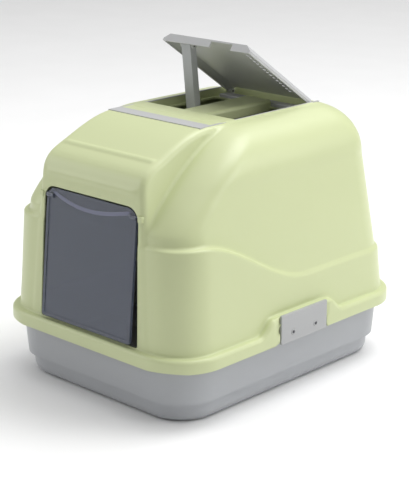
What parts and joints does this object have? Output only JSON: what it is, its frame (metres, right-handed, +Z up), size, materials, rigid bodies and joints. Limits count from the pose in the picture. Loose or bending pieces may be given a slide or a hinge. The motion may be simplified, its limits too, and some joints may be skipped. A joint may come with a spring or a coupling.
{
  "type": "hooded cat litter box",
  "caption": "Covered cat litter box: grey tray, pale green lift-off hood with a swinging smoky door flap, side clips, and a vented top lid on a prop over a carrying handle.",
  "frame": {"origin": "on the floor under the middle of the box", "axes": "+Z up, -Y towards the door, +X to the right of someone who looks into the door"},
  "size_m": [0.4038, 0.5, 0.4925],
  "materials": {
    "hood_green": "satin moulded, softly glossy",
    "tray_grey": "satin moulded",
    "trim_grey": "satin moulded",
    "strut_grey": "satin moulded",
    "clip_grey": "satin moulded",
    "pin_grey": "plain moulded",
    "smoke_clear": "smoky translucent, glossy"
  },
  "bodies": {
    "tray": {"tray": "tray_grey", "clip_pin_front_left": "pin_grey", "clip_pin_front_right": "pin_grey", "clip_pin_rear_left": "pin_grey", "clip_pin_rear_right": "pin_grey"},
    "hood": {"hood": "hood_green", "handle_well": "hood_green", "lid_frame": "trim_grey", "hinge_sill": "trim_grey", "lid_hinge_pin_left": "pin_grey", "lid_hinge_pin_right": "pin_grey", "flap_pin_left": "pin_grey", "flap_pin_right": "pin_grey"},
    "lid": {"lid": "trim_grey", "prop_pin": "pin_grey"},
    "prop": {"prop_strut": "strut_grey"},
    "flap": {"door_flap": "smoke_clear"},
    "clip_left": {"clip_left": "clip_grey", "clip_studs_left": "clip_grey"},
    "clip_right": {"clip_right": "clip_grey", "clip_studs_right": "clip_grey"}
  },
  "joints": [
    {"name": "hood_lift", "type": "slide", "parent": "tray", "child": "hood", "axis": [0, 0, 1], "range_m": [0, 0.15]},
    {"name": "lid_hinge", "type": "hinge", "parent": "hood", "child": "lid", "pos_m": [0, 0.15, 0.385], "axis": [-1, 0, 0], "range_deg": [-34.5, 0]},
    {"name": "prop_hinge", "type": "hinge", "parent": "lid", "child": "prop", "pos_m": [-0.042, 0.01278, 0.47931], "axis": [-1, 0, 0], "range_deg": [-49.35, 0]},
    {"name": "flap_hinge", "type": "hinge", "parent": "hood", "child": "flap", "pos_m": [0, -0.22516, 0.288], "axis": [-1, 0, 0], "range_deg": [-70, 65]},
    {"name": "clip_left_hinge", "type": "hinge", "parent": "tray", "child": "clip_left", "pos_m": [-0.1929, 0.002, 0.088], "axis": [0, -1, 0], "range_deg": [0, 80]},
    {"name": "clip_right_hinge", "type": "hinge", "parent": "tray", "child": "clip_right", "pos_m": [0.1929, 0.002, 0.088], "axis": [0, 1, 0], "range_deg": [0, 80]}
  ],
  "couplings": [
    {"joint": "prop_hinge", "follows": "lid_hinge", "ratio": 1.4291}
  ]
}
